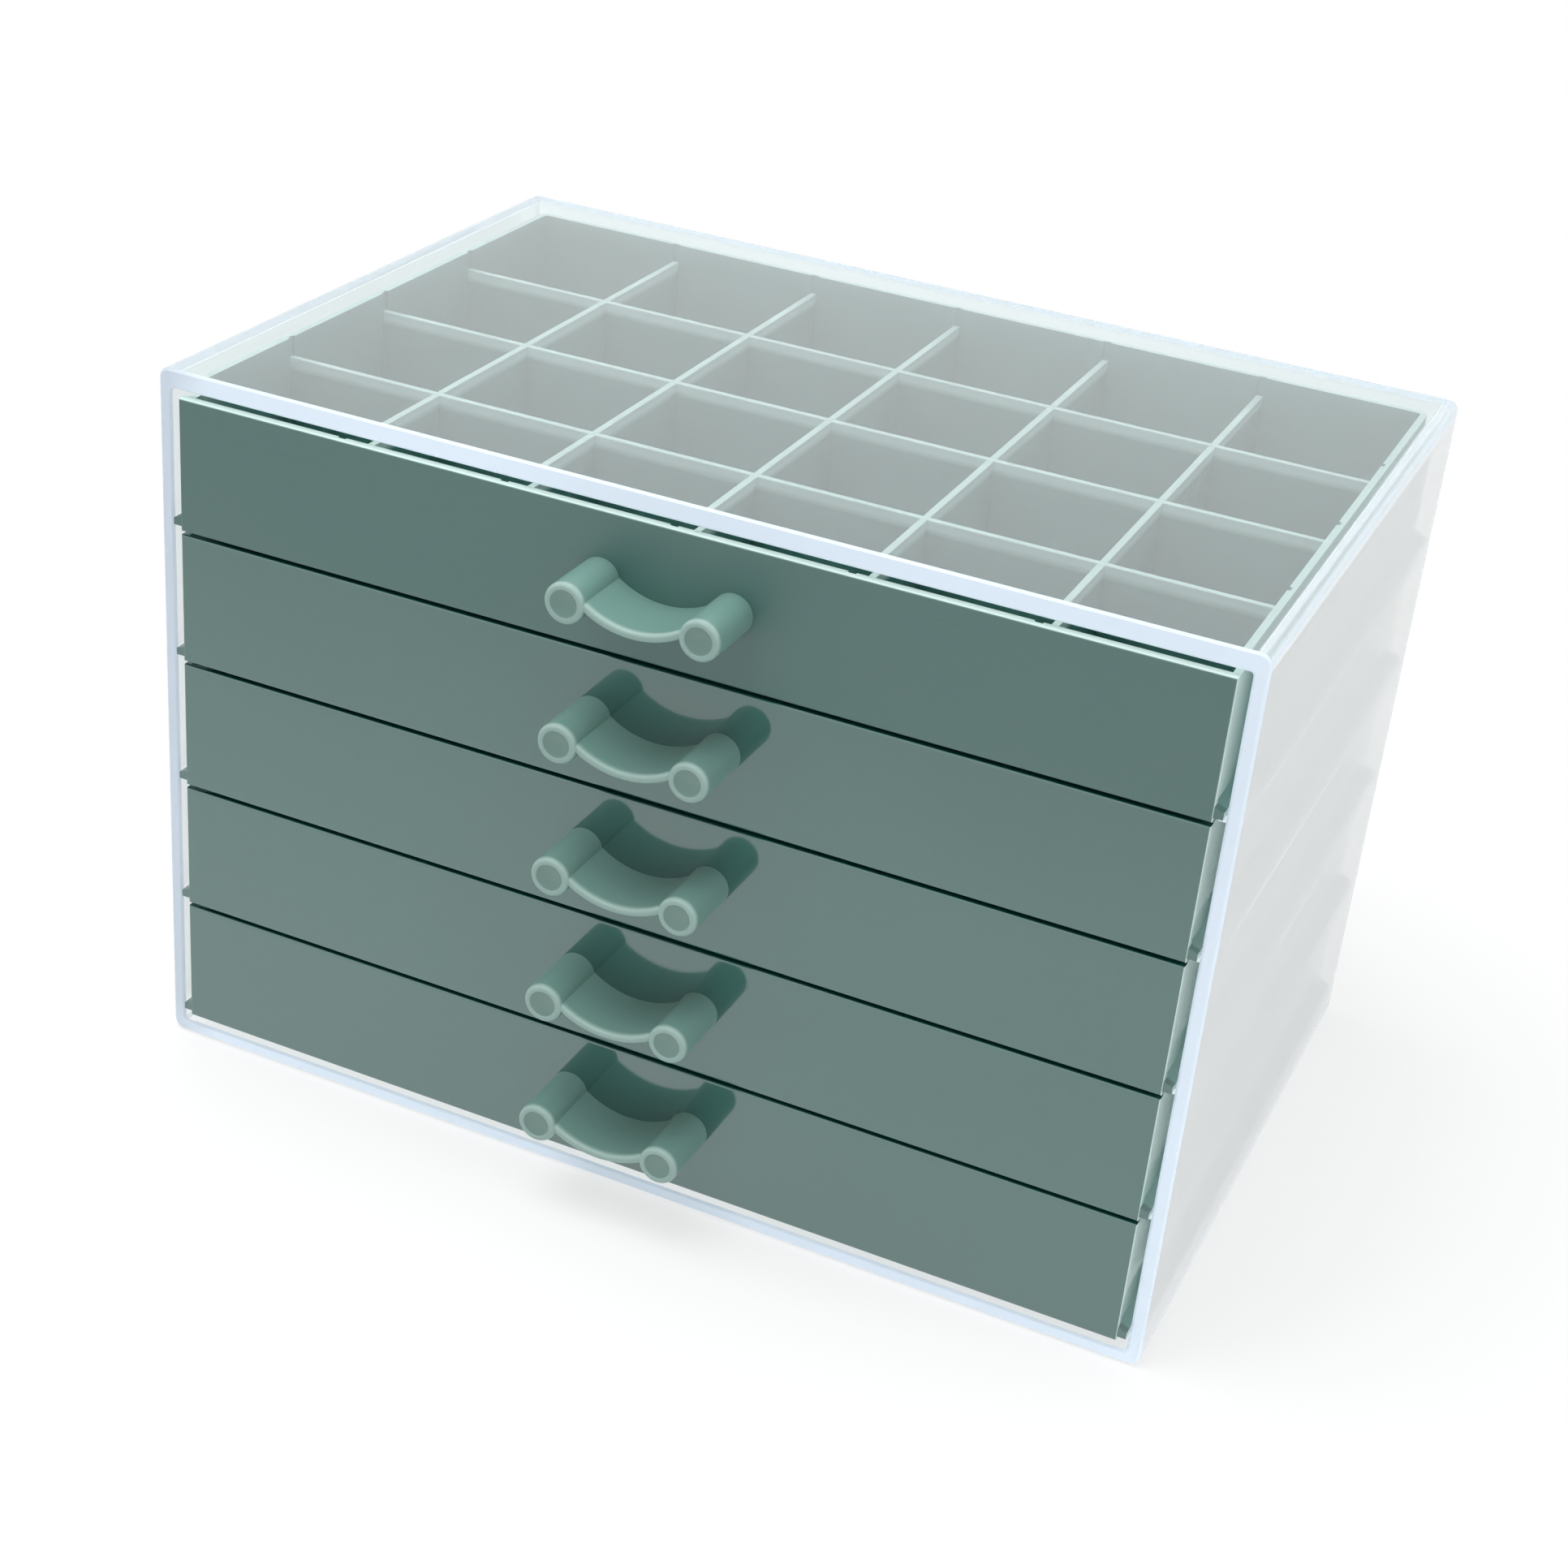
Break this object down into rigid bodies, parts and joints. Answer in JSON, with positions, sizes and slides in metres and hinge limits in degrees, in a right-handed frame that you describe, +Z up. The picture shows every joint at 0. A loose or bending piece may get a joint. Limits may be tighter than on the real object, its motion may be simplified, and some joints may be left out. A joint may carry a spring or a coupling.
{
  "type": "drawer storage box",
  "caption": "Clear tabletop storage box with a stack of sliding drawers, each with a two-post pull and a grid of small compartments for jewellery.",
  "frame": {"origin": "centre of the outer case's underside", "axes": "+X to the right as seen from the front, -Y out of the drawer fronts, +Z up"},
  "size_m": [0.235, 0.1723, 0.1612],
  "materials": {
    "clear_case": "clear, polished",
    "green_drawer": "glossy"
  },
  "bodies": {
    "case": {"outer_case": "clear_case"},
    "drawer_1": {"drawer_1_tray": "green_drawer", "drawer_1_pull": "green_drawer", "drawer_1_long_divider_1": "green_drawer", "drawer_1_long_divider_2": "green_drawer", "drawer_1_long_divider_3": "green_drawer", "drawer_1_long_divider_4": "green_drawer", "drawer_1_long_divider_5": "green_drawer", "drawer_1_cross_divider_1": "green_drawer", "drawer_1_cross_divider_2": "green_drawer", "drawer_1_cross_divider_3": "green_drawer"},
    "drawer_2": {"drawer_2_tray": "green_drawer", "drawer_2_pull": "green_drawer", "drawer_2_long_divider_1": "green_drawer", "drawer_2_long_divider_2": "green_drawer", "drawer_2_long_divider_3": "green_drawer", "drawer_2_long_divider_4": "green_drawer", "drawer_2_long_divider_5": "green_drawer", "drawer_2_cross_divider_1": "green_drawer", "drawer_2_cross_divider_2": "green_drawer", "drawer_2_cross_divider_3": "green_drawer"},
    "drawer_3": {"drawer_3_tray": "green_drawer", "drawer_3_pull": "green_drawer", "drawer_3_long_divider_1": "green_drawer", "drawer_3_long_divider_2": "green_drawer", "drawer_3_long_divider_3": "green_drawer", "drawer_3_long_divider_4": "green_drawer", "drawer_3_long_divider_5": "green_drawer", "drawer_3_cross_divider_1": "green_drawer", "drawer_3_cross_divider_2": "green_drawer", "drawer_3_cross_divider_3": "green_drawer"},
    "drawer_4": {"drawer_4_tray": "green_drawer", "drawer_4_pull": "green_drawer", "drawer_4_long_divider_1": "green_drawer", "drawer_4_long_divider_2": "green_drawer", "drawer_4_long_divider_3": "green_drawer", "drawer_4_long_divider_4": "green_drawer", "drawer_4_long_divider_5": "green_drawer", "drawer_4_cross_divider_1": "green_drawer", "drawer_4_cross_divider_2": "green_drawer", "drawer_4_cross_divider_3": "green_drawer"},
    "drawer_5": {"drawer_5_tray": "green_drawer", "drawer_5_pull": "green_drawer", "drawer_5_long_divider_1": "green_drawer", "drawer_5_long_divider_2": "green_drawer", "drawer_5_long_divider_3": "green_drawer", "drawer_5_long_divider_4": "green_drawer", "drawer_5_long_divider_5": "green_drawer", "drawer_5_cross_divider_1": "green_drawer", "drawer_5_cross_divider_2": "green_drawer", "drawer_5_cross_divider_3": "green_drawer"}
  },
  "joints": [
    {"name": "drawer_1_slide", "type": "slide", "parent": "case", "child": "drawer_1", "axis": [0, -1, 0], "range_m": [0, 0.115]},
    {"name": "drawer_2_slide", "type": "slide", "parent": "case", "child": "drawer_2", "axis": [0, -1, 0], "range_m": [0, 0.115]},
    {"name": "drawer_3_slide", "type": "slide", "parent": "case", "child": "drawer_3", "axis": [0, -1, 0], "range_m": [0, 0.115]},
    {"name": "drawer_4_slide", "type": "slide", "parent": "case", "child": "drawer_4", "axis": [0, -1, 0], "range_m": [0, 0.115]},
    {"name": "drawer_5_slide", "type": "slide", "parent": "case", "child": "drawer_5", "axis": [0, -1, 0], "range_m": [0, 0.115]}
  ]
}
